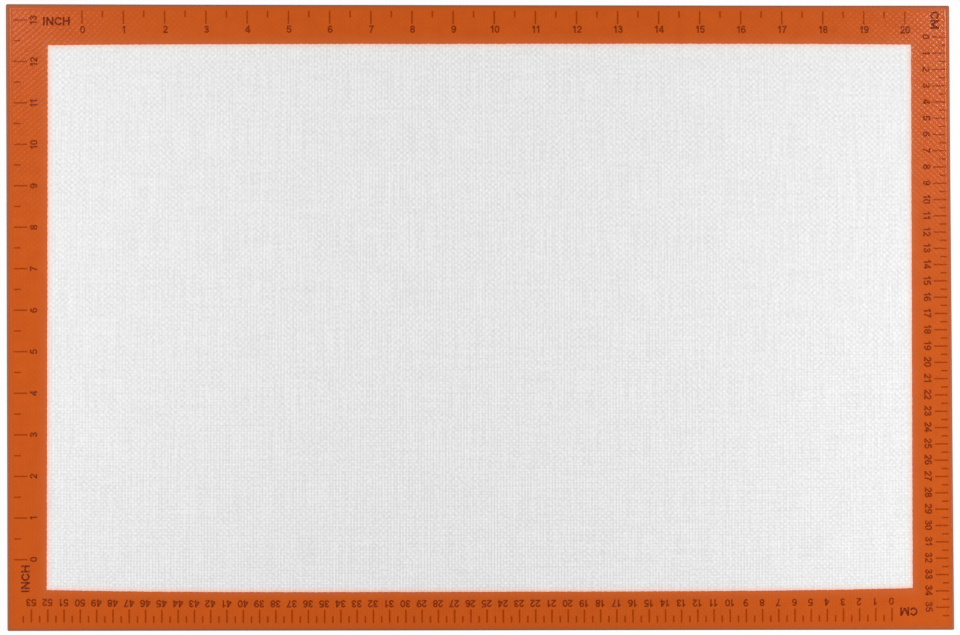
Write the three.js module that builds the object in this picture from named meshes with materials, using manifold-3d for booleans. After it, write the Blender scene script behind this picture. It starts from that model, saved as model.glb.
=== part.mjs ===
// Silicone baking mat: a woven glass cloth between two silicone coats, with a coloured border
// inlaid flush in both faces and an edge seal moulded round the cut edge of the laminate.
// The upper border carries four printed measuring scales, two in inches and two in centimetres.
// Millimetres, +Z up. The mat lies flat, its underside on Z = 0, its centre on the Z axis, its
// long sides along X.
import * as THREE from "three";
import { mergeVertices } from "three/addons/utils/BufferGeometryUtils.js";
import Module from "manifold-3d";

// Driving dimensions of the sheet
const MAT_LENGTH = 583;
const MAT_WIDTH = 385;
const CORNER_RADIUS = 1.4;
const LEAST_CORNER_RADIUS = 0.3;
const CLOTH_THICKNESS = 0.25;
const COAT_THICKNESS = 0.24;

// The coloured border, measured in from the outer edge of the mat
const BORDER_WIDTH = 24.6;
const BORDER_THICKNESS = 0.06;

// The edge seal: a solid wall outside the laminate, with a lip over and under its margin
const SEAL_WALL = 1.2;
const SEAL_LIP_WIDTH = 2.1;
const SEAL_CROWN = 0.08;
const SEAL_ROUND_WIDTH = 0.8;
const SEAL_ROUND_HEIGHT = 0.3;

// Clearances: between layers that lie on each other, and between edges that lie side by side
const BOND_GAP = 0.01;
const EDGE_GAP = 0.1;

// The printed scales
const INCH = 25.4;
const CENTIMETRE = 10;
const MARK_WIDTH = 0.8;
const MARK_HEIGHT = 0.03;
const WHOLE_MARK_LENGTH = 8.1;
const HALF_MARK_LENGTH = 4.1;
const MARK_MARGIN = 0.7;
const SCALE_END_MARGIN = 8;
const TOP_ZERO_INSET = 46.8;
const RIGHT_ZERO_INSET = 20.5;
const BOTTOM_ZERO_INSET = 38.1;
const LEFT_ZERO_INSET = 44.4;

// Fineness of the round corners and of the seal's rounded edge
const CORNER_STEPS = 6;
const ROUND_STEPS = 4;

// Two points closer than this are one point
const WELD = 1e-4;

// Levels of the stack, from the underside up
const LOWER_COAT_TOP = COAT_THICKNESS;
const CLOTH_BOTTOM = LOWER_COAT_TOP + BOND_GAP;
const CLOTH_TOP = CLOTH_BOTTOM + CLOTH_THICKNESS;
const UPPER_COAT_BOTTOM = CLOTH_TOP + BOND_GAP;
const FACE_LEVEL = UPPER_COAT_BOTTOM + COAT_THICKNESS;
const LOWER_LEDGE = BORDER_THICKNESS + BOND_GAP;
const UPPER_LEDGE = FACE_LEVEL - BORDER_THICKNESS - BOND_GAP;
const SEAL_TOP = FACE_LEVEL + SEAL_CROWN;

// Insets of the outlines from the outer edge of the mat
const LAMINATE_INSET = SEAL_WALL + EDGE_GAP;
const SEAL_WIDTH = SEAL_WALL + SEAL_LIP_WIDTH;
const BAND_INSET = SEAL_WIDTH + EDGE_GAP;
const WINDOW_INSET = BORDER_WIDTH + EDGE_GAP;

const wasm = await Module();
wasm.setup();

const glassCloth = new THREE.MeshStandardMaterial({ color: 0xe9e7e0, roughness: 0.8, metalness: 0 });
const whiteSilicone = new THREE.MeshStandardMaterial({ color: 0xeceded, roughness: 0.45, metalness: 0 });
const borderSilicone = new THREE.MeshStandardMaterial({ color: 0xc4541c, roughness: 0.4, metalness: 0 });

// A closed geometry as a solid that can be joined and cut
function solidOf(geometry) {
  const bare = geometry.clone();
  bare.deleteAttribute("normal");
  bare.deleteAttribute("uv");
  const welded = mergeVertices(bare, WELD);
  const vertProperties = welded.attributes.position.array;
  const triVerts = new Uint32Array(welded.index.array);
  return new wasm.Manifold(new wasm.Mesh({ numProp: 3, vertProperties, triVerts }));
}

// A solid back as a geometry
function geometryOf(solid) {
  const mesh = solid.getMesh();
  const geometry = new THREE.BufferGeometry();
  geometry.setAttribute("position", new THREE.BufferAttribute(mesh.vertProperties, 3));
  geometry.setIndex(new THREE.BufferAttribute(mesh.triVerts, 1));
  geometry.computeVertexNormals();
  return geometry;
}

// The mat's outline, drawn in from its outer edge, with the corners rounded to suit
function outline(inset, Curve = THREE.Shape) {
  const x = MAT_LENGTH / 2 - inset;
  const y = MAT_WIDTH / 2 - inset;
  const radius = Math.max(CORNER_RADIUS - inset, LEAST_CORNER_RADIUS);
  const curve = new Curve();
  curve.absarc(x - radius, y - radius, radius, 0, Math.PI / 2);
  curve.absarc(radius - x, y - radius, radius, Math.PI / 2, Math.PI);
  curve.absarc(radius - x, radius - y, radius, Math.PI, 1.5 * Math.PI);
  curve.absarc(x - radius, radius - y, radius, 1.5 * Math.PI, 2 * Math.PI);
  curve.closePath();
  return curve;
}

// A flat sheet of the given shape, from one level to another
function sheet(shape, bottom, top) {
  const geometry = new THREE.ExtrudeGeometry(shape, {
    depth: top - bottom,
    bevelEnabled: false,
    curveSegments: CORNER_STEPS,
  });
  return geometry.translate(0, 0, bottom);
}

// A flat frame between two insets
function frame(outerInset, innerInset, bottom, top) {
  const shape = outline(outerInset);
  shape.holes.push(outline(innerInset, THREE.Path));
  return sheet(shape, bottom, top);
}

// A coat: full thickness in the window, and thinner by the border's inlay round it
function coat(windowBottom, windowTop, ledgeBottom, ledgeTop) {
  const window = solidOf(sheet(outline(WINDOW_INSET), windowBottom, windowTop));
  const ledge = solidOf(sheet(outline(LAMINATE_INSET), ledgeBottom, ledgeTop));
  return geometryOf(window.add(ledge));
}

// One mark of a scale that runs along a side: u is the way along it, v the way out of the mat
function markShape(u, outerV, length, turn) {
  const half = MARK_WIDTH / 2;
  const corners = [
    new THREE.Vector2(u - half, outerV - length),
    new THREE.Vector2(u + half, outerV - length),
    new THREE.Vector2(u + half, outerV),
    new THREE.Vector2(u - half, outerV),
  ];
  const centre = new THREE.Vector2(0, 0);
  return new THREE.Shape(corners.map((corner) => corner.rotateAround(centre, turn)));
}

// The marks of one scale, a long one at each unit and a short one at each half
function scaleMarks({ turn, sideLength, sideDistance, unit, zeroInset, endMargin }) {
  const outerV = sideDistance - SEAL_WIDTH - MARK_MARGIN;
  const firstU = zeroInset - sideLength / 2;
  const halves = Math.floor((sideLength - zeroInset - endMargin) / (unit / 2));
  const marks = [];
  for (let half = 0; half <= halves; half += 1) {
    const length = half % 2 === 0 ? WHOLE_MARK_LENGTH : HALF_MARK_LENGTH;
    marks.push(markShape(firstU + (half * unit) / 2, outerV, length, turn));
  }
  return marks;
}

// The four scales. Each starts near one corner and runs clockwise to the next, and the upper one
// stops short of the corner where the next scale has its first figures.
const longSide = { sideLength: MAT_LENGTH, sideDistance: MAT_WIDTH / 2 };
const shortSide = { sideLength: MAT_WIDTH, sideDistance: MAT_LENGTH / 2 };
const scales = [
  { ...longSide, turn: 0, unit: INCH, zeroInset: TOP_ZERO_INSET, endMargin: BORDER_WIDTH },
  { ...shortSide, turn: -Math.PI / 2, unit: CENTIMETRE, zeroInset: RIGHT_ZERO_INSET, endMargin: SCALE_END_MARGIN },
  { ...longSide, turn: Math.PI, unit: CENTIMETRE, zeroInset: BOTTOM_ZERO_INSET, endMargin: SCALE_END_MARGIN },
  { ...shortSide, turn: Math.PI / 2, unit: INCH, zeroInset: LEFT_ZERO_INSET, endMargin: SCALE_END_MARGIN },
];

// The upper border with its printed marks standing on it
function upperBand() {
  const bottom = FACE_LEVEL - BORDER_THICKNESS;
  const band = solidOf(frame(BAND_INSET, BORDER_WIDTH, bottom, FACE_LEVEL));
  const root = FACE_LEVEL - BORDER_THICKNESS / 2;
  const marks = solidOf(sheet(scales.flatMap(scaleMarks), root, FACE_LEVEL + MARK_HEIGHT));
  return geometryOf(band.add(marks));
}

// The edge seal: a slab with a rounded rim, opened over the mat's face and grooved for the laminate
function edgeSeal() {
  const slab = new THREE.ExtrudeGeometry(outline(0), {
    depth: SEAL_TOP - 2 * SEAL_ROUND_HEIGHT,
    bevelThickness: SEAL_ROUND_HEIGHT,
    bevelSize: SEAL_ROUND_WIDTH,
    bevelOffset: -SEAL_ROUND_WIDTH,
    bevelSegments: ROUND_STEPS,
    curveSegments: CORNER_STEPS,
  });
  slab.translate(0, 0, SEAL_ROUND_HEIGHT);
  const opening = solidOf(sheet(outline(SEAL_WIDTH), -SEAL_TOP, 2 * SEAL_TOP));
  const groove = solidOf(sheet(outline(SEAL_WALL), BORDER_THICKNESS, FACE_LEVEL - BORDER_THICKNESS));
  return geometryOf(solidOf(slab).subtract(opening).subtract(groove));
}

function node(name, geometry, material) {
  const mesh = new THREE.Mesh(geometry, material);
  mesh.name = name;
  return mesh;
}

const mat = new THREE.Group();
mat.add(
  node("lower_border_band", frame(BAND_INSET, BORDER_WIDTH, 0, BORDER_THICKNESS), borderSilicone),
  node("lower_silicone_coat", coat(0, LOWER_COAT_TOP, LOWER_LEDGE, LOWER_COAT_TOP), whiteSilicone),
  node("glass_cloth_core", sheet(outline(LAMINATE_INSET), CLOTH_BOTTOM, CLOTH_TOP), glassCloth),
  node("upper_silicone_coat", coat(UPPER_COAT_BOTTOM, FACE_LEVEL, UPPER_COAT_BOTTOM, UPPER_LEDGE), whiteSilicone),
  node("upper_border_band", upperBand(), borderSilicone),
  node("edge_seal", edgeSeal(), borderSilicone),
);

export default mat;
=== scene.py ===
"""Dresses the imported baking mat: white silicone on woven glass cloth, with an orange border, a
moulded edge bead and printed inch and centimetre scales, seen from straight above."""

import logging
import math
from collections.abc import Iterable
from dataclasses import dataclass, field
from enum import Enum

import bmesh
import bpy
from mathutils import Matrix, Vector, noise


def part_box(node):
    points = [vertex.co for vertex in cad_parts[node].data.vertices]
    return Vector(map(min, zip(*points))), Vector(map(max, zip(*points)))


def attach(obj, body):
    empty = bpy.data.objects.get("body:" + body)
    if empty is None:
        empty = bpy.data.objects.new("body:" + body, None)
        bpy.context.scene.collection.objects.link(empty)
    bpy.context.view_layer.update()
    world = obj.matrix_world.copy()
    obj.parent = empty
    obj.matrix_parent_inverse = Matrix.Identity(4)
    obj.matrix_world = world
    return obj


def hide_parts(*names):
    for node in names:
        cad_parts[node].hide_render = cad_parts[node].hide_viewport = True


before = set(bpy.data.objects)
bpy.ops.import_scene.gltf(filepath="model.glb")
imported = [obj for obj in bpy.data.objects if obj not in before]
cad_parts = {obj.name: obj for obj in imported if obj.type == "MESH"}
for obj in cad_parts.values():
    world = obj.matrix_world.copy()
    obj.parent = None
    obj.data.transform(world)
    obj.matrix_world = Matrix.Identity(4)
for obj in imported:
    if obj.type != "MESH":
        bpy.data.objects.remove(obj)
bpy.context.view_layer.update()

LOG = logging.getLogger("baking_mat")
MM = 0.001
BODY = "root"
YARN_MAP = "yarn_lay"
BLEED = "pigment_bleed"
RIM = "rim_shade"
INK_FILM = "ink_film"
BACK_CELL = 5
WELD = MM / 1000
SILICONE_IOR = 1.41

Colour = tuple[float, float, float, float]


def linear(hex_colour: str) -> Colour:
    """Turns an sRGB hex colour into linear light.

    Args:
        hex_colour: six hex digits after a #.

    Returns:
        Linear red, green, blue and an alpha of 1.
    """
    channels = [int(hex_colour[i : i + 2], 16) / 255 for i in (1, 3, 5)]
    light = [c / 12.92 if c <= 0.04045 else ((c + 0.055) / 1.055) ** 2.4 for c in channels]
    return (*light, 1.0)


def add_node(tree: bpy.types.NodeTree, kind: str, inputs: dict | None = None, **settings) -> bpy.types.Node:
    """Adds a node to a tree.

    Args:
        tree: the node tree.
        kind: the node's type name.
        inputs: input name or index to a socket to link from, or to a constant value.
        settings: the node's own properties.

    Returns:
        The new node.
    """
    node = tree.nodes.new(kind)
    for name, value in settings.items():
        setattr(node, name, value)
    for key, value in (inputs or {}).items():
        if isinstance(value, bpy.types.NodeSocket):
            tree.links.new(value, node.inputs[key])
        else:
            node.inputs[key].default_value = value
    return node


def new_material(name: str) -> tuple[bpy.types.Material, bpy.types.NodeTree]:
    """Makes a material with an empty node tree.

    Args:
        name: the material's name.

    Returns:
        The material and its tree.
    """
    material = bpy.data.materials.new(name)
    material.use_nodes = True
    material.node_tree.nodes.clear()
    return material, material.node_tree


def yarn_wave(tree: bpy.types.NodeTree, yarns: bpy.types.NodeSocket, turns: float) -> bpy.types.NodeSocket:
    """A cosine over the yarns.

    Args:
        tree: the material's tree.
        yarns: the count of yarns at each point.
        turns: how many times it comes round on each yarn.

    Returns:
        The wave, from -1 to 1.
    """
    angle = add_node(tree, "ShaderNodeMath", {0: yarns, 1: turns * math.tau}, operation="MULTIPLY")
    return add_node(tree, "ShaderNodeMath", {0: angle.outputs[0]}, operation="COSINE").outputs[0]


def yarn_crowns(tree: bpy.types.NodeTree, yarn: bpy.types.Node) -> bpy.types.NodeSocket:
    """The chequer of crowns where one yarn passes over another.

    Args:
        tree: the material's tree.
        yarn: the yarn counts, split by axis.

    Returns:
        The height, 1 on each crown and -1 between them.
    """
    waves = [yarn_wave(tree, yarn.outputs[way], 0.5) for way in ("X", "Y")]
    return add_node(tree, "ShaderNodeMath", {0: waves[0], 1: waves[1]}, operation="MULTIPLY").outputs[0]


def uneven_share(tree: bpy.types.NodeTree, attribute: str, size: float, depth: float) -> tuple:
    """Makes an attribute of the piece uneven with a fine noise.

    Args:
        tree: the material's tree.
        attribute: the attribute's name.
        size: the size of the noise's patches.
        depth: how far the noise moves the attribute.

    Returns:
        Sockets for the plain attribute, the noise and the uneven share from 0 to 1.
    """
    place = add_node(tree, "ShaderNodeTexCoord").outputs["Object"]
    noises = {"Vector": place, "Scale": 1 / size, "Detail": 2.0}
    grain = add_node(tree, "ShaderNodeTexNoise", noises).outputs["Fac"]
    plain = add_node(tree, "ShaderNodeAttribute", attribute_name=attribute).outputs["Fac"]
    parts = {0: grain, 1: depth, 2: plain}
    spread = add_node(tree, "ShaderNodeMath", parts, operation="MULTIPLY_ADD").outputs[0]
    level = {0: spread, 1: depth / 2}
    share = add_node(tree, "ShaderNodeMath", level, operation="SUBTRACT", use_clamp=True)
    return plain, grain, share.outputs[0]


def add_skin(
    tree: bpy.types.NodeTree, height: bpy.types.NodeSocket, depth: float, finish: dict, strength: float = 1.0
) -> None:
    """Ends a material with a skin that has a fine relief.

    Args:
        tree: the material's tree.
        height: the relief.
        depth: what one unit of it stands for, in metres.
        finish: the skin's own inputs, as add_node takes them.
        strength: how much of the relief the skin keeps.
    """
    relief = {"Height": height, "Strength": strength, "Distance": depth}
    bump = add_node(tree, "ShaderNodeBump", relief)
    skin = add_node(tree, "ShaderNodeBsdfPrincipled", {**finish, "Normal": bump.outputs[0]})
    add_node(tree, "ShaderNodeOutputMaterial", {"Surface": skin.outputs[0]})


@dataclass(frozen=True)
class WovenSilicone:
    """Liquid silicone rubber cast over plain-woven glass cloth and cured.

    The coat is thin, so the eye gets the yarns as faint lines and a chequer of crowns, with a
    satin skin over them that glints on each crown where a lamp is mirrored.
    """

    name: str
    colour: str
    gap_colour: str
    stain_colour: str
    roughness: float
    warp_tone: float
    weft_tone: float
    crown_tone: float
    warp_slub: float
    weft_slub: float
    speckle_tone: float
    mottle_tone: float
    mottle_size: float = 9 * MM
    drift_size: float = 75 * MM
    thinning_length: float = 340 * MM
    warp_fade: float = 2.6
    warp_middle: float = -20 * MM
    slub_length: float = 16
    slub_cells: float = 0.9
    speckle_cells: float = 1.1
    drift_share: float = 0.6
    thinning_middle: float = 0.2
    warp_gain: float = 0.6
    weft_onset: tuple[float, float] = (0.45, 0.85)
    weft_least: float = 0.15
    crown_full: float = 1.1
    crown_loss: float = 0.45
    line_swing: float = 0.6
    patch_yarns: tuple[float, float] = (4, 12)
    yarn_bump: float = 0.012 * MM
    ridge_share: float = 0.5
    weft_ridge: float = 0.6
    sheen_drift: float = 0.04
    ior: float = SILICONE_IOR

    def make(self) -> bpy.types.Material:
        """Builds the material from the yarn map and the bleed attribute."""
        material, tree = new_material(self.name)
        lay = add_node(tree, "ShaderNodeUVMap", uv_map=YARN_MAP)
        yarn = add_node(tree, "ShaderNodeSeparateXYZ", {0: lay.outputs["UV"]})
        place = add_node(tree, "ShaderNodeTexCoord")

        def cloud(where: bpy.types.NodeSocket, scale: float, detail: float) -> bpy.types.NodeSocket:
            """An even noise over the given coordinates."""
            noises = {"Vector": where, "Scale": scale, "Detail": detail, "Roughness": 0.5}
            return add_node(tree, "ShaderNodeTexNoise", noises).outputs["Fac"]

        def slub(stretch: tuple[float, float, float]) -> bpy.types.NodeSocket:
            """Yarns a little thicker or thinner than the next, in stretches many yarns long."""
            along = add_node(tree, "ShaderNodeMapping", {"Vector": lay.outputs["UV"], "Scale": stretch})
            return cloud(along.outputs[0], self.slub_cells, 1.0)

        def product(one: bpy.types.NodeSocket, other: bpy.types.NodeSocket) -> bpy.types.NodeSocket:
            """One value times another."""
            return add_node(tree, "ShaderNodeMath", {0: one, 1: other}, operation="MULTIPLY").outputs[0]

        def total(parts: list[tuple[bpy.types.NodeSocket, float]], start: float) -> bpy.types.NodeSocket:
            """The sum of the parts, each times its own weight, and a start value."""
            running: bpy.types.NodeSocket | float = start
            for socket, weight in parts:
                running = add_node(
                    tree, "ShaderNodeMath", {0: socket, 1: weight, 2: running}, operation="MULTIPLY_ADD"
                ).outputs[0]
            return running

        warp = yarn_wave(tree, yarn.outputs["X"], 1)
        weft = yarn_wave(tree, yarn.outputs["Y"], 1)
        crown = yarn_crowns(tree, yarn)

        # The coat thins towards the near side: there the yarns show as lines, further up as crowns
        spot = add_node(tree, "ShaderNodeSeparateXYZ", {0: place.outputs["Object"]})
        from_middle = total([(spot.outputs["X"], 1.0)], -self.warp_middle)
        aside = add_node(tree, "ShaderNodeMath", {0: from_middle}, operation="ABSOLUTE").outputs[0]
        drift = cloud(place.outputs["Object"], 1 / self.drift_size, 1.0)
        slope = (spot.outputs["Y"], -1 / self.thinning_length)
        thinning = total([slope, (drift, self.drift_share)], self.thinning_middle)
        warp_share = total([(thinning, self.warp_gain), (aside, -self.warp_fade)], 1.0)
        weft_share = add_node(
            tree,
            "ShaderNodeMapRange",
            {
                "Value": thinning,
                "From Min": self.weft_onset[0],
                "From Max": self.weft_onset[1],
                "To Min": self.weft_least,
                "To Max": 1.0,
            },
            interpolation_type="SMOOTHSTEP",
        ).outputs[0]
        crown_share = total([(thinning, -self.crown_loss)], self.crown_full)

        # In small upright patches the lines stand out, and between them the crowns
        lines = add_node(
            tree,
            "ShaderNodeMapRange",
            {
                "Value": slub((1 / self.patch_yarns[0], 1 / self.patch_yarns[1], 1.0)),
                "From Min": 0.35,
                "From Max": 0.65,
                "To Min": 1 - self.line_swing,
                "To Max": 1 + self.line_swing,
            },
        ).outputs[0]
        dots = total([(lines, -1.0)], 2.0)
        mottle = cloud(place.outputs["Object"], 1 / self.mottle_size, 3.0)
        clouds = [
            (slub((1.0, 1 / self.slub_length, 1.0)), self.warp_slub),
            (slub((1 / self.slub_length, 1.0, 1.0)), self.weft_slub),
            (cloud(lay.outputs["UV"], self.speckle_cells, 2.0), self.speckle_tone),
            (mottle, self.mottle_tone),
        ]
        waves = [
            (product(product(warp, warp_share), lines), self.warp_tone),
            (product(weft, weft_share), self.weft_tone),
            (product(product(crown, crown_share), dots), self.crown_tone),
        ]
        tone = total(waves + clouds, 0.5 - sum(weight for _, weight in clouds) / 2)
        base = add_node(
            tree,
            "ShaderNodeMix",
            {"Factor": tone, 6: linear(self.gap_colour), 7: linear(self.colour)},
            data_type="RGBA",
        )
        bleed = add_node(tree, "ShaderNodeAttribute", attribute_name=BLEED)
        dyed = add_node(
            tree,
            "ShaderNodeMix",
            {"Factor": bleed.outputs["Fac"], 6: base.outputs[2], 7: linear(self.stain_colour)},
            data_type="RGBA",
        )
        rough = add_node(
            tree,
            "ShaderNodeMapRange",
            {
                "Value": mottle,
                "From Min": 0.3,
                "From Max": 0.7,
                "To Min": self.roughness - self.sheen_drift,
                "To Max": self.roughness + self.sheen_drift,
            },
        )
        ridges = self.ridge_share
        height = total([(warp, ridges), (weft, self.weft_ridge * ridges), (crown, 1 - ridges)], 0.0)
        finish = {"Base Color": dyed.outputs[2], "Roughness": rough.outputs[0], "IOR": self.ior}
        add_skin(tree, height, self.yarn_bump, finish)
        return material


@dataclass(frozen=True)
class MouldedSilicone:
    """Pigmented silicone rubber drawn round the cut edge and cured in a press.

    It is smooth and satin, and rougher on the rounded rim than on its thin lip. The rim's darker, browner
    colour is painted shade, where the rounded rim turns down from the lamps towards its shadow on the table.
    """

    name: str
    colour: str
    rim_shade_colour: str
    roughness: float
    rim_roughness: float
    grain_size: float = 1.4 * MM
    grain_tone: float = 0.24
    grain_depth: float = 0.003 * MM
    grain_strength: float = 0.6

    def make(self) -> bpy.types.Material:
        """Builds the material from the rim attribute and a fine grain."""
        material, tree = new_material(self.name)
        # Painted shade: the colour darkens towards the rim shade colour along the rounded rim, made uneven
        # by a fine grain; the rim is rougher too
        rim, grain, share = uneven_share(tree, RIM, self.grain_size, self.grain_tone)
        colour = add_node(
            tree,
            "ShaderNodeMix",
            {"Factor": share, 6: linear(self.colour), 7: linear(self.rim_shade_colour)},
            data_type="RGBA",
        )
        rough = add_node(
            tree,
            "ShaderNodeMapRange",
            {"Value": rim, "To Min": self.roughness, "To Max": self.rim_roughness},
        )
        finish = {"Base Color": colour.outputs[2], "Roughness": rough.outputs[0], "IOR": SILICONE_IOR}
        add_skin(tree, grain, self.grain_depth, finish, self.grain_strength)
        return material


@dataclass(frozen=True)
class ScreenInk:
    """Dark brown silicone ink, screen-printed on the border.

    The film is thickest in the bold words and thinnest in the marks, where the border shows
    through. It follows the crowns of the weave, so a mirrored lamp glints on it as on the border.
    """

    name: str
    colour: str
    thin_colour: str
    roughness: float
    specular: float = 0.22
    crown_bump: float = 0.032 * MM
    patch_size: float = 1.1 * MM
    patch_depth: float = 0.5

    def make(self) -> bpy.types.Material:
        """Builds the material from the film attribute, small thin patches and the yarn map."""
        material, tree = new_material(self.name)
        _, _, cover = uneven_share(tree, INK_FILM, self.patch_size, self.patch_depth)
        colour = add_node(
            tree,
            "ShaderNodeMix",
            {"Factor": cover, 6: linear(self.thin_colour), 7: linear(self.colour)},
            data_type="RGBA",
        )
        lay = add_node(tree, "ShaderNodeUVMap", uv_map=YARN_MAP)
        yarn = add_node(tree, "ShaderNodeSeparateXYZ", {0: lay.outputs["UV"]})
        finish = {
            "Base Color": colour.outputs[2],
            "Roughness": self.roughness,
            "IOR": SILICONE_IOR,
            "Specular IOR Level": self.specular,
        }
        add_skin(tree, yarn_crowns(tree, yarn), self.crown_bump, finish)
        return material


@dataclass(frozen=True)
class PaleFloor:
    """Matt white studio paper, which shows the camera a high-key white and keeps a soft shadow."""

    name: str
    colour: str
    white_share: float

    def make(self) -> bpy.types.Material:
        """Builds the paper, lifted towards white for camera, glossy and transmitted rays."""
        material, tree = new_material(self.name)
        paper = add_node(
            tree, "ShaderNodeBsdfPrincipled", {"Base Color": linear(self.colour), "Roughness": 0.95}
        )
        white = add_node(tree, "ShaderNodeEmission", {"Strength": 1.0})
        ray = add_node(tree, "ShaderNodeLightPath")
        seen = ray.outputs["Is Camera Ray"]
        for kind in ("Is Glossy Ray", "Is Transmission Ray"):
            seen = add_node(
                tree, "ShaderNodeMath", {0: seen, 1: ray.outputs[kind]}, operation="MAXIMUM"
            ).outputs[0]
        share = add_node(
            tree, "ShaderNodeMath", {0: seen, 1: self.white_share}, operation="MULTIPLY"
        )
        mixed = add_node(
            tree,
            "ShaderNodeMixShader",
            {0: share.outputs[0], 1: paper.outputs[0], 2: white.outputs[0]},
        )
        add_node(tree, "ShaderNodeOutputMaterial", {"Surface": mixed.outputs[0]})
        return material


WHITE_FACE = WovenSilicone(
    name="cast white silicone over glass weave",
    colour="#F3F3F3",
    gap_colour="#DBDBDB",
    stain_colour="#FFB090",
    roughness=0.46,
    warp_tone=0.22,
    weft_tone=0.165,
    crown_tone=0.24,
    warp_slub=0.6,
    weft_slub=0.45,
    speckle_tone=1.6,
    mottle_tone=0.1,
)
ORANGE_BORDER = WovenSilicone(
    name="pigmented orange silicone over glass weave",
    colour="#CE5A16",
    gap_colour="#C15114",
    stain_colour="#C87850",
    roughness=0.2,
    warp_tone=0.1,
    weft_tone=0.06,
    crown_tone=0.1,
    warp_slub=0.3,
    weft_slub=0.3,
    speckle_tone=0.3,
    mottle_tone=0.9,
    yarn_bump=0.021 * MM,
    ridge_share=0.0,
    sheen_drift=0.015,
)
GLASS_CLOTH = WovenSilicone(
    name="plain-woven glass yarn",
    colour="#ECEAE2",
    gap_colour="#CFCDC4",
    stain_colour="#ECEAE2",
    roughness=0.7,
    warp_tone=0.4,
    weft_tone=0.4,
    crown_tone=0.2,
    warp_slub=0.4,
    weft_slub=0.4,
    speckle_tone=0.3,
    mottle_tone=0.2,
    ior=1.52,
)
ORANGE_BEAD = MouldedSilicone(
    name="press-moulded orange silicone",
    colour="#C65616",
    # The rim colour is painted shade of the rounded rim
    rim_shade_colour="#93522F",
    roughness=0.2,
    rim_roughness=0.55,
)
BROWN_INK = ScreenInk(
    name="screen-printed silicone ink", colour="#721D00", thin_colour="#AA4000", roughness=0.22
)
STUDIO_PAPER = PaleFloor(name="white studio paper", colour="#F0F0EE", white_share=0.88)


@dataclass(frozen=True)
class YarnAxis:
    """Where the yarns lie along one way of the mat, counted from one edge of the border band."""

    window_half: float
    band_half: float
    window_yarns: int
    band_yarns: int

    @property
    def count(self) -> int:
        """The number of yarn pitches from edge to edge of the band."""
        return self.window_yarns + 2 * self.band_yarns

    def place(self, index: float) -> float:
        """The coordinate of a yarn, or of a point between two."""
        away = abs(index - self.count / 2)
        half = self.window_yarns / 2
        if away <= half:
            distance = away * self.window_half / half
        else:
            pitch = (self.band_half - self.window_half) / self.band_yarns
            distance = self.window_half + (away - half) * pitch
        return math.copysign(distance, index - self.count / 2)

    def index(self, coordinate: float) -> float:
        """The yarn at a coordinate: the inverse of place."""
        half = self.window_yarns / 2
        if abs(coordinate) <= self.window_half:
            away = abs(coordinate) * half / self.window_half
        else:
            pitch = (self.band_half - self.window_half) / self.band_yarns
            away = half + (abs(coordinate) - self.window_half) / pitch
        return self.count / 2 + math.copysign(away, coordinate)


@dataclass(frozen=True)
class Weave:
    """The plain weave of the glass cloth, whose relief shows in every coat over it."""

    x: YarnAxis
    y: YarnAxis
    ridge: float = 0.012 * MM
    crown: float = 0.02 * MM

    def relief(self, x: float, y: float) -> float:
        """The height of the weave at a point, at most zero, with the crowns at zero."""
        u = self.x.index(x)
        v = self.y.index(y)
        ridges = self.ridge * (math.cos(math.tau * u) + math.cos(math.tau * v) - 2)
        return ridges + self.crown * (math.cos(math.pi * u) * math.cos(math.pi * v) - 1)

    def map_yarns(self, bm: bmesh.types.BMesh) -> None:
        """Writes the yarn counts at each corner of each face as the piece's UV map."""
        layer = bm.loops.layers.uv.new(YARN_MAP)
        for face in bm.faces:
            for loop in face.loops:
                place = loop.vert.co
                loop[layer].uv = (self.x.index(place.x), self.y.index(place.y))

    def grid(self, columns: int, rows: int, steps: int) -> bmesh.types.BMesh:
        """A flat grid about the centre with its lines on the yarns.

        Args:
            columns: yarn pitches across.
            rows: yarn pitches up.
            steps: grid lines to each pitch.

        Returns:
            The grid as a new bmesh.
        """
        bm = bmesh.new()
        bmesh.ops.create_grid(bm, x_segments=columns * steps, y_segments=rows * steps, size=0.5)
        for vert in bm.verts:
            vert.co.x = self.x.place(self.x.count / 2 + vert.co.x * columns)
            vert.co.y = self.y.place(self.y.count / 2 + vert.co.y * rows)
        return bm

    def split_cells(self, bm: bmesh.types.BMesh, steps: int) -> None:
        """Splits each cell of a grid along the diagonal that runs down from a crown or joins two.

        Args:
            bm: the grid, still flat.
            steps: grid lines to each pitch.
        """
        first: dict[bool, list] = {True: [], False: []}
        for cell in bm.faces:
            place = cell.verts[0].co
            count = round(steps * self.x.index(place.x)) + round(steps * self.y.index(place.y))
            first[count % 2 == 0].append(cell)
        bmesh.ops.triangulate(bm, faces=first[True], quad_method="FIXED")
        bmesh.ops.triangulate(bm, faces=first[False], quad_method="ALTERNATE")


@dataclass(frozen=True)
class Corners:
    """A shift in the sheet's plane at each corner of a rectangle."""

    upper_left: Vector
    upper_right: Vector
    lower_left: Vector
    lower_right: Vector

    def blend(self, s: float, t: float) -> Vector:
        """The shift at a place inside, where s and t run from -1 to 1 between the sides."""
        across = min(max(s, -1), 1) / 2 + 0.5
        up = min(max(t, -1), 1) / 2 + 0.5
        low = self.lower_left.lerp(self.lower_right, across)
        return low.lerp(self.upper_left.lerp(self.upper_right, across), up)


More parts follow.
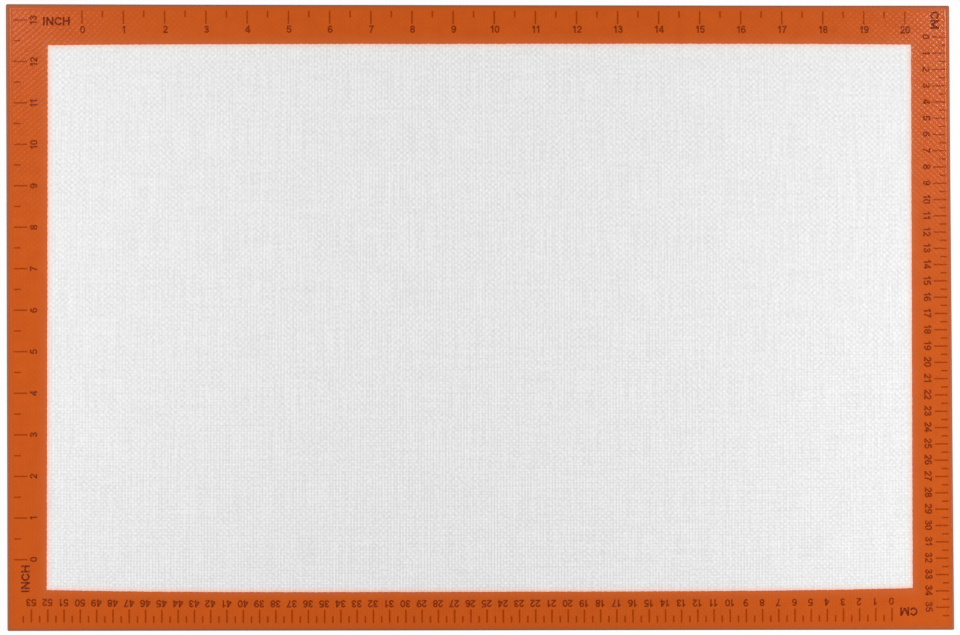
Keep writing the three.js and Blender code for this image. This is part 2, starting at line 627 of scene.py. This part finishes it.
@dataclass(frozen=True)
class Lie:
    """How the printed window sits in the cut outline, and how the limp sheet lies on the table.

    The mat was cut by hand after printing, so its outline is out of square by under a millimetre,
    and the long sides of the window bow out a little.
    """

    weave: Weave
    half: Vector
    cut: Corners = Corners(
        Vector((-0.57, 0.69)) * MM,
        Vector((-0.9, -0.08)) * MM,
        Vector((0.92, 0.26)) * MM,
        Vector((0.5, -0.87)) * MM,
    )
    window: Corners = Corners(
        Vector((0.7, -0.15)) * MM,
        Vector((-0.1, 0.35)) * MM,
        Vector((0.4, 0.8)) * MM,
        Vector((-0.5, 0.4)) * MM,
    )
    upper_bow: float = 0.75 * MM
    lower_bow: float = 1.75 * MM
    tooth: float = 0.17 * MM
    tooth_chequer: float = 0.5
    tooth_wander: float = 0.8
    wander_pitch: float = 0.37
    wander_sides: tuple[float, float] = (9.3, 4.1)
    yarn_slack: float = 0.001
    ripple_height: float = 0.16 * MM
    ripple_length: Vector = field(default_factory=lambda: Vector((0.31, 0.24)))
    ripple_phase: tuple[float, float] = (0.6, -0.4)
    corner_lift: float = 0.7 * MM
    corner_reach: float = 70 * MM

    def askew(self, x: float, y: float) -> Vector:
        """The shift in the sheet's plane: the window's inside it, the cut's at the outer edge."""
        window = Vector((self.weave.x.window_half, self.weave.y.window_half))
        inner = self.window.blend(x / window.x, y / window.y)
        t = y / window.y
        bow = self.upper_bow if t > 0 else self.lower_bow
        inner.y += bow * min(max(t, -1), 1) * max(0.0, 1 - (x / window.x) ** 4)
        outer = self.cut.blend(x / self.half.x, y / self.half.y)
        way_x = (abs(x) - window.x) / (self.half.x - window.x)
        way_y = (abs(y) - window.y) / (self.half.y - window.y)
        return inner.lerp(outer, min(max(way_x, way_y, 0.0), 1.0))

    def teeth(self, x: float, y: float) -> tuple[float, float]:
        """The ragged step of the border's inner edge, which follows the yarns over and under."""
        u = self.weave.x.index(x)
        v = self.weave.y.index(y)
        on_x = math.isclose(abs(x), self.weave.x.window_half, abs_tol=MM / 100)
        on_y = math.isclose(abs(y), self.weave.y.window_half, abs_tol=MM / 100)
        if on_x == on_y:
            return 0.0, 0.0
        count = v if on_x else u
        before = math.floor(count + self.yarn_slack)
        across = math.copysign(self.wander_sides[0], x)
        up = math.copysign(self.wander_sides[1], y)
        share = count - before
        ends = []
        for yarn in (before, before + 1):
            wander = self.tooth_wander * noise.noise(Vector((yarn * self.wander_pitch, across, up)))
            ends.append(self.tooth * (self.tooth_chequer * math.cos(math.pi * yarn) + wander))
        step = ends[0] + (ends[1] - ends[0]) * share
        return (step, 0.0) if on_x else (0.0, step)

    def lift(self, x: float, y: float) -> float:
        """The height of the sheet over the table: a slack ripple, and the two far corners up a little."""
        ripple = math.cos(math.tau * x / self.ripple_length.x + self.ripple_phase[0])
        ripple *= math.cos(math.tau * y / self.ripple_length.y + self.ripple_phase[1])
        height = self.ripple_height * (1 + ripple)
        for side in (-1, 1):
            corner = Vector((side * self.weave.x.band_half, self.weave.y.band_half))
            away = (Vector((x, y)) - corner).length / self.corner_reach
            height += self.corner_lift * math.exp(-away * away)
        return height

    def settle(self, bm: bmesh.types.BMesh) -> None:
        """Moves every vertex to where it lies."""
        for vert in bm.verts:
            x, y = vert.co.x, vert.co.y
            shift = self.askew(x, y)
            step = self.teeth(x, y)
            vert.co += Vector((shift.x + step[0], shift.y + step[1], self.lift(x, y)))

    def raise_print(self, bm: bmesh.types.BMesh) -> None:
        """Lifts every vertex of the print to the sheet's height."""
        for vert in bm.verts:
            vert.co.z += self.lift(vert.co.x, vert.co.y)


def finish_piece(
    bm: bmesh.types.BMesh, name: str, material: bpy.types.Material, slot: str | None, *nodes: str
) -> bpy.types.Object:
    """Makes an object of a bmesh, dresses it and ties it to the frame.

    Args:
        bm: the finished mesh, which is freed.
        name: the piece's name.
        material: its finish.
        slot: a material slot's name; not used.
        nodes: the CAD nodes that it stands for.

    Returns:
        The piece.
    """
    mesh = bpy.data.meshes.new(name)
    bm.to_mesh(mesh)
    bm.free()
    mesh.materials.append(material)
    piece = bpy.data.objects.new(name, mesh)
    bpy.context.scene.collection.objects.link(piece)
    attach(piece, BODY)
    if nodes:
        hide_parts(*nodes)
    LOG.info("%s: %d faces", name, len(mesh.polygons))
    return piece


def rim_edges(bm: bmesh.types.BMesh) -> list[bmesh.types.BMEdge]:
    """The open edges of a mesh."""
    return [edge for edge in bm.edges if edge.is_boundary]


def pull(bm: bmesh.types.BMesh, edges: Iterable[bmesh.types.BMEdge]) -> tuple[list, list]:
    """Extrudes open edges.

    Args:
        bm: the mesh.
        edges: the edges to extrude.

    Returns:
        The new edges along the far side, and their vertices.
    """
    made = bmesh.ops.extrude_edge_only(bm, edges=list(edges))["geom"]
    verts = [item for item in made if isinstance(item, bmesh.types.BMVert)]
    fresh = set(verts)
    far = [e for e in made if isinstance(e, bmesh.types.BMEdge) and fresh.issuperset(e.verts)]
    return far, verts


def close_back(bm: bmesh.types.BMesh, edges: list[bmesh.types.BMEdge]) -> None:
    """Fills the flat back of a sheet, cut into cells so that it can follow the sheet's lie.

    Args:
        bm: the sheet, with its walls already down to the level of its back.
        edges: the loop round the back, whose vertices stand opposite each other.
    """
    verts = {vert for edge in edges for vert in edge.verts}
    faces = bmesh.ops.edgeloop_fill(bm, edges=edges)["faces"]
    for way in (0, 1):
        lines = sorted({round(vert.co[way], 7) for vert in verts})
        normal = Vector((1 - way, way, 0))
        for line in lines[BACK_CELL:-BACK_CELL:BACK_CELL]:
            parts = set(faces)
            for face in faces:
                parts.update(face.edges, face.verts)
            cut = bmesh.ops.bisect_plane(
                bm, geom=list(parts), dist=WELD, plane_co=normal * line, plane_no=normal
            )
            faces = [item for item in cut["geom"] if isinstance(item, bmesh.types.BMFace)]


def bleed_at(depth: float, share: float, reach: float) -> float:
    """The other colour's share at a depth from the border's inner edge, none past the reach."""
    return share * max(0.0, 1 - depth / reach) ** 2


class Face(Enum):
    """The two faces of the mat."""

    UPPER = 1
    LOWER = -1


COATS = {Face.UPPER: "upper_silicone_coat", Face.LOWER: "lower_silicone_coat"}


@dataclass
class Laminate:
    """The glass cloth between its two silicone coats."""

    weave: Weave
    lie: Lie
    bleed_share: float = 0.6
    bleed_reach: float = 4.2 * MM
    ledge_depth: float = 0.16 * MM

    def coat(self, face: Face, node: str, name: str) -> bpy.types.Object:
        """One coat: the woven face in the window, a flat ledge under the border and a flat back.

        Args:
            face: which side of the cloth it covers.
            node: the CAD node that it stands for.
            name: the piece's name.

        Returns:
            The piece.
        """
        low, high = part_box(node)
        outer, inner = (high.z, low.z) if face is Face.UPPER else (low.z, high.z)
        bm = self.weave.grid(self.weave.x.window_yarns, self.weave.y.window_yarns, 1)
        bleed = bm.verts.layers.float.new(BLEED)
        for vert in bm.verts:
            depth = min(
                self.weave.x.window_half - abs(vert.co.x), self.weave.y.window_half - abs(vert.co.y)
            )
            vert[bleed] = bleed_at(depth, self.bleed_share, self.bleed_reach)
        self.weave.split_cells(bm, 1)
        for vert in bm.verts:
            vert.co.z = outer + face.value * self.weave.relief(vert.co.x, vert.co.y)
        edges, verts = pull(bm, rim_edges(bm))
        ledge = outer - face.value * self.ledge_depth
        for vert in verts:
            vert.co.z = ledge
        edges, verts = pull(bm, edges)
        spread = (high.x / self.weave.x.window_half, high.y / self.weave.y.window_half, 1)
        bmesh.ops.scale(bm, vec=spread, verts=verts)
        edges, verts = pull(bm, edges)
        for vert in verts:
            vert.co.z = inner
        close_back(bm, edges)
        bmesh.ops.recalc_face_normals(bm, faces=bm.faces)
        self.weave.map_yarns(bm)
        self.lie.settle(bm)
        return finish_piece(bm, name, WHITE_FACE.make(), "white_silicone", node)

    def cloth(self, node: str, name: str) -> bpy.types.Object:
        """The woven glass cloth, its crowns on the upper side and its back flat."""
        low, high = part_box(node)
        bm = self.weave.grid(self.weave.x.count, self.weave.y.count, 1)
        spread = (high.x / self.weave.x.band_half, high.y / self.weave.y.band_half, 1)
        self.weave.split_cells(bm, 1)
        for vert in bm.verts:
            vert.co.z = high.z + self.weave.relief(vert.co.x, vert.co.y)
        self.weave.map_yarns(bm)
        edges, verts = pull(bm, rim_edges(bm))
        for vert in verts:
            vert.co.z = low.z
        close_back(bm, edges)
        bmesh.ops.scale(bm, vec=spread, verts=bm.verts)
        bmesh.ops.recalc_face_normals(bm, faces=bm.faces)
        self.lie.settle(bm)
        return finish_piece(bm, name, GLASS_CLOTH.make(), "glass_cloth", node)


@dataclass
class BorderBand:
    """The orange border, inlaid in one face of the mat round the window."""

    weave: Weave
    lie: Lie
    face: Face
    node: str
    name: str
    bleed_share: float = 0.32
    bleed_reach: float = 8 * MM
    thickness: float = 0.15 * MM
    steps: int = 2

    def build(self) -> bpy.types.Object:
        """Builds the woven band as a closed frame with a flat back."""
        low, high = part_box(COATS[self.face])
        outer = high.z if self.face is Face.UPPER else low.z
        inner = outer - self.face.value * self.thickness
        weave = self.weave
        bm = weave.grid(weave.x.count, weave.y.count, self.steps)
        inside = [face for face in bm.faces if self.in_window(face.calc_center_median())]
        bmesh.ops.delete(bm, geom=inside, context="FACES")
        weave.split_cells(bm, self.steps)
        woven = list(bm.faces)
        bleed = bm.verts.layers.float.new(BLEED)
        for vert in bm.verts:
            depth = max(
                abs(vert.co.x) - weave.x.window_half, abs(vert.co.y) - weave.y.window_half
            )
            vert[bleed] = bleed_at(depth, self.bleed_share, self.bleed_reach)
            vert.co.z = outer + self.face.value * weave.relief(vert.co.x, vert.co.y)
        rim = rim_edges(bm)
        edges, verts = pull(bm, rim)
        for vert in verts:
            vert.co.z = inner
        bmesh.ops.triangle_fill(bm, edges=edges, use_beauty=True, normal=(0, 0, 1))
        bmesh.ops.recalc_face_normals(bm, faces=bm.faces)
        for part in woven:
            part.smooth = True
        for edge in rim:
            edge.smooth = False
        weave.map_yarns(bm)
        self.lie.settle(bm)
        return finish_piece(bm, self.name, ORANGE_BORDER.make(), "border_silicone", self.node)

    def in_window(self, place: Vector) -> bool:
        """Whether a point lies inside the window."""
        return abs(place.x) < self.weave.x.window_half and abs(place.y) < self.weave.y.window_half


@dataclass
class EdgeBead:
    """The bead of silicone round the cut edge, with a feathered lip over and under the laminate."""

    lie: Lie
    node: str = "edge_seal"
    name: str = "edge_bead"
    corner_radius: float = 0.9 * MM
    least_radius: float = 0.15 * MM
    wall: float = 1.2 * MM
    lip_width: float = 3.6 * MM
    valley_inset: float = 2.3 * MM
    ridge_inset: float = 3.0 * MM
    rim_reach: float = 2.6 * MM
    lip_thickness: float = 0.05 * MM
    corner_steps: int = 6
    side_step: float = 8 * MM
    round_steps: int = 6
    flat_top: float = 0.99
    ridge_rise: float = 0.4
    lip_rise: float = 0.15
    crease_deg: float = 50

    def section(self, top: float, face: float) -> list[tuple[float, float]]:
        """The bead's section as inset and height, from the lower lip round the rim to the groove."""
        middle = top / 2
        points = [(self.lip_width, 0.0)]
        for step in range(self.round_steps + 1):
            angle = math.pi * (step / self.round_steps - 0.5)
            points.append((self.wall * (1 - math.cos(angle)), middle * (1 + math.sin(angle))))
        crown = top - face
        points += [
            (self.valley_inset, face),
            (self.ridge_inset, face + self.ridge_rise * crown),
            (self.lip_width, face + self.lip_rise * crown),
            (self.lip_width, face - self.lip_thickness),
            (self.wall, face - self.lip_thickness),
            (self.wall, self.lip_thickness),
            (self.lip_width, self.lip_thickness),
        ]
        return points

    def corner(self, inset: float) -> tuple[Vector, float]:
        """The centre and the radius of the corner round, where x and y are positive, at an inset."""
        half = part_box(self.node)[1]
        radius = max(self.corner_radius - inset, self.least_radius)
        return Vector((half.x - inset - radius, half.y - inset - radius)), radius

    def start_ring(self, bm: bmesh.types.BMesh, inset: float, height: float) -> tuple[list, list]:
        """The first loop of the section: a circle pulled apart into a rounded rectangle.

        Args:
            bm: the mesh that it is added to.
            inset: how far in from the outer edge it lies.
            height: its level.

        Returns:
            The loop's edges and its vertices.
        """
        centre, radius = self.corner(inset)
        turn = Matrix.Rotation(math.tau / (8 * self.corner_steps), 4, "Z")
        made = bmesh.ops.create_circle(bm, segments=4 * self.corner_steps, radius=radius, matrix=turn)
        for vert in made["verts"]:
            vert.co.x += math.copysign(centre.x, vert.co.x)
            vert.co.y += math.copysign(centre.y, vert.co.y)
            vert.co.z = height
        return list(bm.edges), made["verts"]

    def move_ring(self, verts: list[bmesh.types.BMVert], start: float, inset: float, height: float) -> None:
        """Carries a loop from one inset to another, each corner round about its own centre.

        Args:
            verts: the loop's vertices.
            start: the inset that they lie at.
            inset: the inset that they go to.
            height: their new level.
        """
        old_centre, old_radius = self.corner(start)
        centre, radius = self.corner(inset)
        for vert in verts:
            for way in (0, 1):
                out = (abs(vert.co[way]) - old_centre[way]) * radius / old_radius
                vert.co[way] = math.copysign(centre[way] + out, vert.co[way])
            vert.co.z = height

    def build(self) -> bpy.types.Object:
        """Draws the loop round the bead's section and closes it on itself."""
        low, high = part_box(self.node)
        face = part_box(COATS[Face.UPPER])[1].z
        bm = bmesh.new()
        rim = bm.verts.layers.float.new(RIM)
        section = self.section(high.z, face)
        edges, verts = self.start_ring(bm, *section[0])
        for (start, _), (inset, height) in zip(section, section[1:] + section[:1]):
            edges, verts = pull(bm, edges)
            self.move_ring(verts, start, inset, height)
            # The rim attribute places the bead's painted rim shade and its rougher rim, strongest at the
            # outer edge
            for vert in verts:
                vert[rim] = max(0.0, 1 - inset / self.rim_reach)
        bmesh.ops.remove_doubles(bm, verts=bm.verts, dist=WELD)
        for way in range(2):
            long = [e for e in bm.edges if abs(e.verts[0].co[way] - e.verts[1].co[way]) > high[way]]
            bmesh.ops.subdivide_edges(bm, edges=long, cuts=round(2 * high[way] / self.side_step))
        bmesh.ops.recalc_face_normals(bm, faces=bm.faces)
        for piece_face in bm.faces:
            piece_face.smooth = piece_face.normal.z < self.flat_top
        for edge in bm.edges:
            if edge.calc_face_angle(0.0) > math.radians(self.crease_deg):
                edge.smooth = False
        self.lie.settle(bm)
        return finish_piece(bm, self.name, ORANGE_BEAD.make(), "border_silicone", self.node)


class Unit(Enum):
    """What a scale measures in: the size of a unit and the word beside its zero."""

    INCH = (25.4 * MM, "INCH")
    CENTIMETRE = (10 * MM, "CM")


class Side(Enum):
    """The sides that the scales run along, as quarter turns from the upper one."""

    UPPER = 0
    LEFT = 1
    LOWER = 2
    RIGHT = 3


class Glyph(Enum):
    """The plain sans-serif figures and capitals of the scales.

    Each is its width and its pen strokes, in capital heights. A stroke of two points is straight,
    a longer one is a smooth curve through its points, and a ring goes round an oval.
    """

    ZERO = ("0", 0.56, [], [(0.28, 0.5, 0.19, 0.41)])
    ONE = ("1", 0.46, [[(0.29, 0.0), (0.29, 1.0)], [(0.06, 0.72), (0.2, 0.79), (0.29, 0.96)]], [])
    TWO = (
        "2",
        0.56,
        [
            [(0.08, 0.69), (0.28, 0.91), (0.47, 0.69), (0.3, 0.38), (0.1, 0.1)],
            [(0.04, 0.09), (0.52, 0.09)],
        ],
        [],
    )
    THREE = (
        "3",
        0.56,
        [
            [(0.08, 0.74), (0.27, 0.91), (0.45, 0.73), (0.22, 0.53)],
            [(0.22, 0.53), (0.48, 0.3), (0.27, 0.09), (0.07, 0.28)],
        ],
        [],
    )
    FOUR = (
        "4",
        0.58,
        [[(0.4, 0.0), (0.4, 1.0)], [(0.4, 0.95), (0.06, 0.3)], [(0.03, 0.27), (0.55, 0.27)]],
        [],
    )
    FIVE = (
        "5",
        0.56,
        [
            [(0.12, 0.91), (0.5, 0.91)],
            [(0.15, 0.93), (0.11, 0.46)],
            [(0.1, 0.5), (0.28, 0.6), (0.48, 0.34), (0.27, 0.09), (0.07, 0.26)],
        ],
        [],
    )
    SIX = (
        "6",
        0.56,
        [[(0.47, 0.78), (0.29, 0.91), (0.11, 0.66), (0.09, 0.32)]],
        [(0.28, 0.32, 0.19, 0.23)],
    )
    SEVEN = ("7", 0.56, [[(0.05, 0.91), (0.52, 0.91)], [(0.47, 0.91), (0.29, 0.5), (0.2, 0.0)]], [])
    EIGHT = ("8", 0.56, [], [(0.28, 0.72, 0.17, 0.19), (0.28, 0.3, 0.19, 0.21)])
    NINE = (
        "9",
        0.56,
        [[(0.09, 0.22), (0.27, 0.09), (0.45, 0.34), (0.47, 0.68)]],
        [(0.28, 0.68, 0.19, 0.23)],
    )
    CAPITAL_C = ("C", 0.72, [[(0.64, 0.7), (0.37, 0.9), (0.1, 0.5), (0.37, 0.1), (0.64, 0.3)]], [])
    CAPITAL_H = (
        "H",
        0.7,
        [[(0.12, 0.0), (0.12, 1.0)], [(0.58, 0.0), (0.58, 1.0)], [(0.12, 0.53), (0.58, 0.53)]],
        [],
    )
    CAPITAL_I = ("I", 0.3, [[(0.15, 0.0), (0.15, 1.0)]], [])
    CAPITAL_M = (
        "M",
        0.86,
        [
            [(0.12, 0.0), (0.12, 1.0)],
            [(0.74, 0.0), (0.74, 1.0)],
            [(0.12, 0.97), (0.43, 0.08)],
            [(0.43, 0.08), (0.74, 0.97)],
        ],
        [],
    )
    CAPITAL_N = (
        "N",
        0.72,
        [[(0.12, 0.0), (0.12, 1.0)], [(0.6, 0.0), (0.6, 1.0)], [(0.12, 0.97), (0.6, 0.03)]],
        [],
    )

    @classmethod
    def of(cls, letter: str) -> "Glyph":
        """The glyph of a letter."""
        return next(glyph for glyph in cls if glyph.value[0] == letter)


@dataclass(frozen=True)
class Pen:
    """A screen-printed pen line: its width and film, and how broad its letters are and how they lean."""

    stroke: float
    height: float
    breadth: float
    slant: float
    film: float

    def write(self, text: str, thickness: float) -> bpy.types.Mesh:
        """Writes a word or a number about the origin.

        Args:
            text: what to write.
            thickness: the depth of the ink.

        Returns:
            The mesh, each stroke a closed flat tube.
        """
        curve = bpy.data.curves.new("lettering", "CURVE")
        curve.dimensions = "3D"
        curve.twist_mode = "Z_UP"
        curve.resolution_u = 4
        curve.bevel_depth = self.stroke / self.height / 2
        curve.bevel_resolution = 1
        curve.use_fill_caps = True
        start = 0.0
        for letter in text:
            _, width, strokes, rings = Glyph.of(letter).value
            for stroke in strokes:
                self.line(curve, [((start + x) * self.breadth, y) for x, y in stroke])
            for x, y, half_width, half_height in rings:
                quarters = [(half_width, 0), (0, half_height), (-half_width, 0), (0, -half_height)]
                self.line(curve, [((start + x + a) * self.breadth, y + b) for a, b in quarters], ring=True)
            start += width
        holder = bpy.data.objects.new("lettering", curve)
        bpy.context.scene.collection.objects.link(holder)
        mesh = bpy.data.meshes.new_from_object(holder.evaluated_get(bpy.context.evaluated_depsgraph_get()))
        bpy.data.objects.remove(holder)
        bpy.data.curves.remove(curve)
        lean = Matrix.Shear("XY", 4, (self.slant, 0))
        size = Matrix.Diagonal((self.height, self.height, thickness * self.height / self.stroke, 1))
        mesh.transform(size @ lean @ Matrix.Translation((-start * self.breadth / 2, -0.5, 0)))
        return mesh

    def line(self, curve: bpy.types.Curve, points: list[tuple[float, float]], ring: bool = False) -> None:
        """Adds one stroke to the lettering.

        Args:
            curve: the lettering.
            points: the points that the stroke goes through.
            ring: whether it closes on itself.
        """
        spline = curve.splines.new("BEZIER")
        spline.bezier_points.add(len(points) - 1)
        spline.use_cyclic_u = ring
        kind = "AUTO" if len(points) > 2 else "VECTOR"
        for knot, (x, y) in zip(spline.bezier_points, points):
            knot.co = (x, y, 0)
            knot.handle_left_type = kind
            knot.handle_right_type = kind


@dataclass
class MeasuringScale:
    """One printed scale: marks at each unit and half unit, figures, and the unit's name."""

    lie: Lie
    side: Side
    unit: Unit
    zero_inset: float
    end_margin: float
    mark_inset: float
    figure_inset: float
    word_before: float
    word_inset: float
    print_gain: float = 1.0
    mark_width: float = 0.85 * MM
    mark_film: float = 0.2
    whole_mark: float = 8.1 * MM
    half_mark: float = 4.1 * MM
    film: float = 0.05 * MM
    sink: float = 0.07 * MM
    figures: Pen = Pen(stroke=0.88 * MM, height=4.5 * MM, breadth=1.3, slant=0.04, film=0.6)
    words: Pen = Pen(stroke=1.05 * MM, height=5.2 * MM, breadth=1.36, slant=0.08, film=0.85)

    def build(self) -> bpy.types.Object:
        """Prints the scale as one piece of ink."""
        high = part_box("edge_seal")[1]
        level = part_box("upper_silicone_coat")[1].z
        lengthways = self.side in (Side.UPPER, Side.LOWER)
        run = high.x if lengthways else high.y
        edge = high.y if lengthways else high.x
        pitch, word = self.unit.value
        pitch *= self.print_gain
        first = self.zero_inset - run
        halves = math.floor((2 * run - self.zero_inset - self.end_margin) / (pitch / 2))
        thickness = self.film + self.sink
        middle = level + self.film - thickness / 2
        bm = bmesh.new()
        ink = bm.verts.layers.float.new(INK_FILM)
        for step in range(halves + 1):
            along = first + step * pitch / 2
            length = self.half_mark if step % 2 else self.whole_mark
            centre = Vector((along, edge - self.mark_inset - length / 2, middle))
            size = Matrix.Diagonal((self.mark_width, length, thickness, 1))
            made = bmesh.ops.create_cube(bm, size=1, matrix=self.place(centre) @ size)
            for vert in made["verts"]:
                vert[ink] = self.mark_film
            if step % 2 == 0:
                spot = Vector((along, edge - self.figure_inset, middle))
                self.add_text(bm, self.figures, str(step // 2), spot)
        spot = Vector((first - self.word_before, edge - self.word_inset, middle))
        self.add_text(bm, self.words, word, spot)
        # The curves leave the end caps of their strokes loose
        bmesh.ops.remove_doubles(bm, verts=bm.verts, dist=WELD)
        self.lie.weave.map_yarns(bm)
        self.lie.raise_print(bm)
        name = f"scale_{self.unit.name.lower()}_{self.side.name.lower()}"
        return finish_piece(bm, name, BROWN_INK.make(), None)

    def place(self, spot: Vector) -> Matrix:
        """Turns a spot on the upper side to the scale's own side, shifted with the sheet under it."""
        turn = Matrix.Rotation(self.side.value * math.pi / 2, 4, "Z")
        centre = turn @ spot
        shift = self.lie.askew(centre.x, centre.y)
        return Matrix.Translation((shift.x, shift.y, 0)) @ turn @ Matrix.Translation(spot)

    def add_text(self, bm: bmesh.types.BMesh, pen: Pen, text: str, spot: Vector) -> None:
        """Adds a word or a number to the scale.

        Args:
            bm: the scale's mesh.
            pen: what it is written with.
            text: what to write.
            spot: where its middle goes, on a scale along the upper side.
        """
        mesh = pen.write(text, self.film + self.sink)
        mesh.transform(self.place(spot))
        before = len(bm.verts)
        bm.from_mesh(mesh)
        bpy.data.meshes.remove(mesh)
        bm.verts.ensure_lookup_table()
        ink = bm.verts.layers.float[INK_FILM]
        for vert in bm.verts[before:]:
            vert[ink] = pen.film


@dataclass
class Studio:
    """The table, the lamps and the camera over the mat."""

    height: float = 1.6
    aside: Vector = field(default_factory=lambda: Vector((-24.1 * MM, -28.5 * MM)))
    tilt_deg: tuple[float, float, float] = (1.013, -0.852, -0.096)
    lens_mm: float = 97.3
    sensor_mm: float = 36
    horizon: tuple[float, float] = (0.15, 0.7)
    overhead_glow: float = 0.18
    floor_size: float = 30.0
    floor_gap: float = 0.05 * MM

    def camera(self) -> None:
        """A long lens over the middle of the mat, a degree out of square as in the photograph."""
        data = bpy.data.cameras.new("overhead_camera")
        data.lens = self.lens_mm
        data.sensor_width = self.sensor_mm
        camera = bpy.data.objects.new("overhead_camera", data)
        camera.location = (*self.aside, self.height)
        camera.rotation_euler = [math.radians(angle) for angle in self.tilt_deg]
        bpy.context.scene.collection.objects.link(camera)
        bpy.context.scene.camera = camera

    def lamp(self, name: str, place: Vector, size: tuple[float, float], watts: float) -> None:
        """A soft box beside the mat, leaning in towards its long middle line."""
        data = bpy.data.lights.new(name, "AREA")
        data.shape = "RECTANGLE"
        data.size, data.size_y = size
        data.energy = watts
        lamp = bpy.data.objects.new(name, data)
        lamp.location = place
        lamp.rotation_euler = (0, math.atan2(place.x, place.z), 0)
        bpy.context.scene.collection.objects.link(lamp)

    def world(self) -> None:
        """A studio that is white round the horizon and dim overhead."""
        world = bpy.data.worlds.new("studio")
        world.use_nodes = True
        tree = world.node_tree
        tree.nodes.clear()
        way = add_node(tree, "ShaderNodeTexCoord")
        up = add_node(tree, "ShaderNodeSeparateXYZ", {0: way.outputs["Generated"]})
        light = add_node(
            tree,
            "ShaderNodeMapRange",
            {
                "Value": up.outputs["Z"],
                "From Min": self.horizon[0],
                "From Max": self.horizon[1],
                "To Min": 1.0,
                "To Max": self.overhead_glow,
            },
        )
        glow = add_node(tree, "ShaderNodeBackground", {"Strength": light.outputs[0]})
        add_node(tree, "ShaderNodeOutputWorld", {"Surface": glow.outputs[0]})
        bpy.context.scene.world = world

    def floor(self) -> None:
        """The pale table under the mat."""
        bm = bmesh.new()
        bmesh.ops.create_grid(bm, x_segments=8, y_segments=8, size=self.floor_size / 2)
        bmesh.ops.translate(bm, vec=(0, 0, -self.floor_gap), verts=bm.verts)
        mesh = bpy.data.meshes.new("table")
        bm.to_mesh(mesh)
        bm.free()
        mesh.materials.append(STUDIO_PAPER.make())
        table = bpy.data.objects.new("table", mesh)
        bpy.context.scene.collection.objects.link(table)

    def build(self) -> None:
        """Sets up the whole studio."""
        self.camera()
        self.floor()
        self.world()
        self.lamp("left_soft_box", Vector((-0.615, 0.49, 0.85)), (0.38, 0.44), 2.5)
        self.lamp("right_soft_box", Vector((0.634, 0.3, 0.85)), (0.24, 0.22), 2.3)
        self.lamp("low_left_soft_box", Vector((-0.75, -0.1, 0.55)), (0.25, 0.6), 3.4)
        self.lamp("low_right_soft_box", Vector((0.75, -0.2, 0.55)), (0.25, 0.6), 3.9)
        bpy.context.scene.view_settings.view_transform = "Standard"


def main() -> None:
    """Builds the studio and the mat, piece by piece."""
    logging.basicConfig(level=logging.INFO, format="%(name)s %(message)s")
    Studio().build()
    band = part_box("lower_border_band")[1]
    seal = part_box("edge_seal")[1]
    border_width = 24.6 * MM
    weave = Weave(
        YarnAxis(seal.x - border_width, band.x, window_yarns=284, band_yarns=11),
        YarnAxis(seal.y - border_width, band.y, window_yarns=190, band_yarns=12),
    )
    lie = Lie(weave, Vector((seal.x, seal.y)))
    laminate = Laminate(weave, lie)
    cloth = laminate.cloth("glass_cloth_core", "woven_glass_cloth")
    skins = [
        laminate.coat(Face.UPPER, "upper_silicone_coat", "upper_coat"),
        laminate.coat(Face.LOWER, "lower_silicone_coat", "lower_coat"),
        BorderBand(weave, lie, Face.UPPER, "upper_border_band", "upper_border").build(),
        BorderBand(weave, lie, Face.LOWER, "lower_border_band", "lower_border").build(),
        EdgeBead(lie).build(),
    ]
    scales = [
        MeasuringScale(
            lie,
            Side.UPPER,
            Unit.INCH,
            zero_inset=46.4 * MM,
            end_margin=24.6 * MM,
            mark_inset=3.8 * MM,
            figure_inset=15.3 * MM,
            word_before=15.9 * MM,
            word_inset=10.2 * MM,
            print_gain=1.0014,
        ),
        MeasuringScale(
            lie,
            Side.RIGHT,
            Unit.CENTIMETRE,
            zero_inset=19.5 * MM,
            end_margin=8 * MM,
            mark_inset=2.7 * MM,
            figure_inset=14.9 * MM,
            word_before=10.3 * MM,
            word_inset=9.3 * MM,
            print_gain=1.0055,
        ),
        MeasuringScale(
            lie,
            Side.LOWER,
            Unit.CENTIMETRE,
            zero_inset=38.1 * MM,
            end_margin=8 * MM,
            mark_inset=5.0 * MM,
            figure_inset=17.1 * MM,
            word_before=10.5 * MM,
            word_inset=10.8 * MM,
        ),
        MeasuringScale(
            lie,
            Side.LEFT,
            Unit.INCH,
            zero_inset=43.5 * MM,
            end_margin=8 * MM,
            mark_inset=4.4 * MM,
            figure_inset=16.3 * MM,
            word_before=11.9 * MM,
            word_inset=11.3 * MM,
            print_gain=1.0054,
        ),
    ]
    printed = [scale.build() for scale in scales]


if __name__ == "__main__":
    main()
